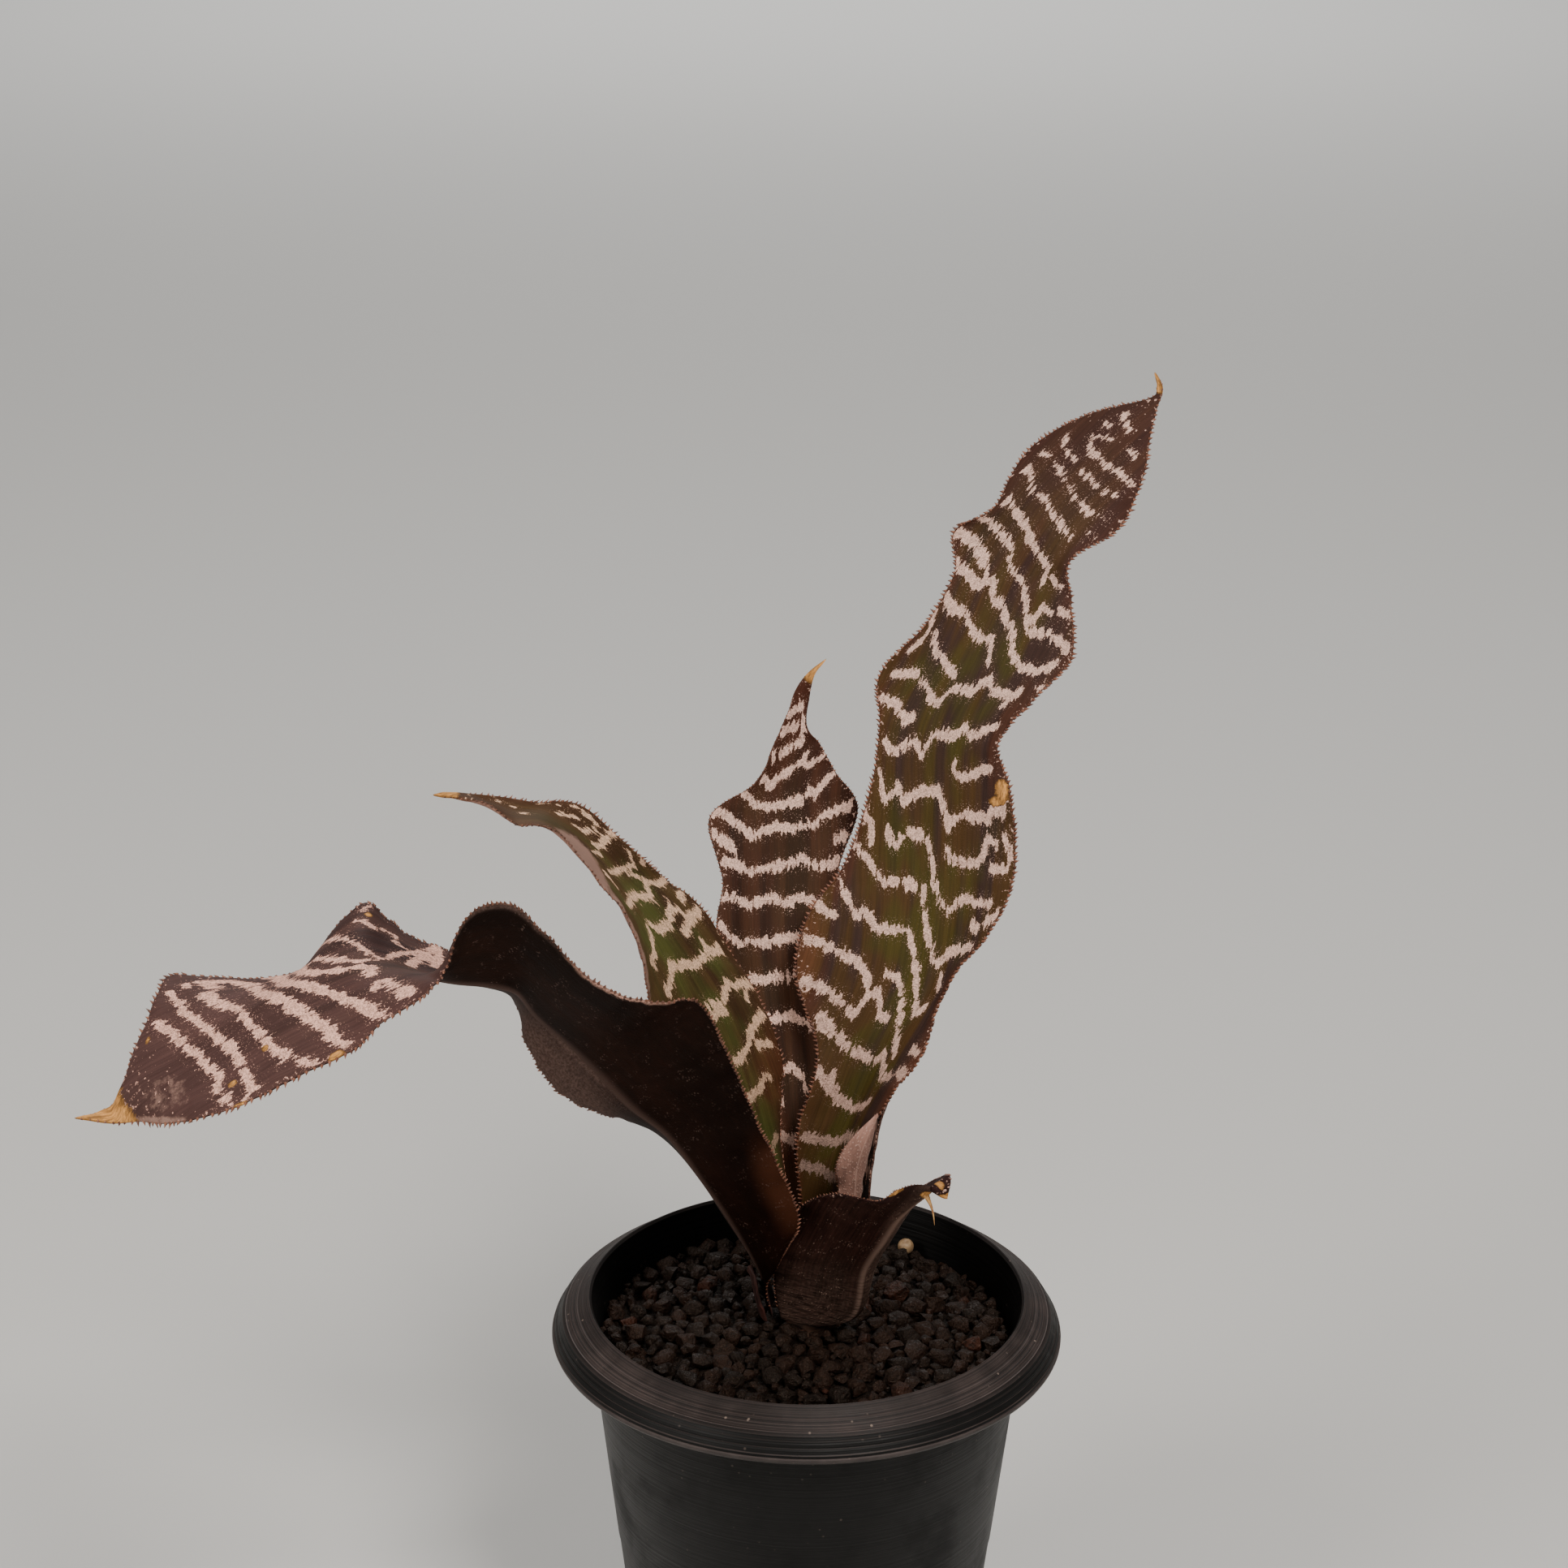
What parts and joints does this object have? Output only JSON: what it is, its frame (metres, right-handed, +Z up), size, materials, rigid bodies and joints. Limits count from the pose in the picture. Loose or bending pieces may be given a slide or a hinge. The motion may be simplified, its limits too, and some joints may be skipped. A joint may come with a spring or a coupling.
{
  "type": "potted earth star bromeliad",
  "caption": "Stemless rosette of stiff banded, finely toothed leaves, the largest bent over the rim, rooted in granular mix in a round tapered black pot.",
  "frame": {"origin": "centre of the pot's flat bottom, on the plane the pot stands on", "axes": "+Z is up along the pot's axis; -Y is toward the viewer of the front side, where the pot's front rim and the small reddish leaf are; +X is to the right seen from that side, and the longest leaf overhangs the rim toward -X -Y"},
  "size_m": [0.1676, 0.1463, 0.2395],
  "materials": {
    "pot_plastic": "satin charcoal-black moulded plastic with fine turned rings",
    "potting_mix": "matt dark brown angular granules",
    "stem_wood": "matt brown bark",
    "leaf_tissue": "scurfy purplish-brown leaf with pinkish-white cross bands",
    "dried_leaf": "matt reddish-brown dried leaf base",
    "pellet": "smooth tan coated granule"
  },
  "bodies": {
    "root": {"pot": "pot_plastic", "soil": "potting_mix", "stem": "stem_wood", "leaf_right_tall": "leaf_tissue", "leaf_back": "leaf_tissue", "leaf_left": "leaf_tissue", "leaf_front_left": "leaf_tissue", "leaf_front_small": "leaf_tissue", "leaf_back_right": "leaf_tissue", "dried_sheath": "dried_leaf", "feed_pellet": "pellet"}
  },
  "joints": []
}
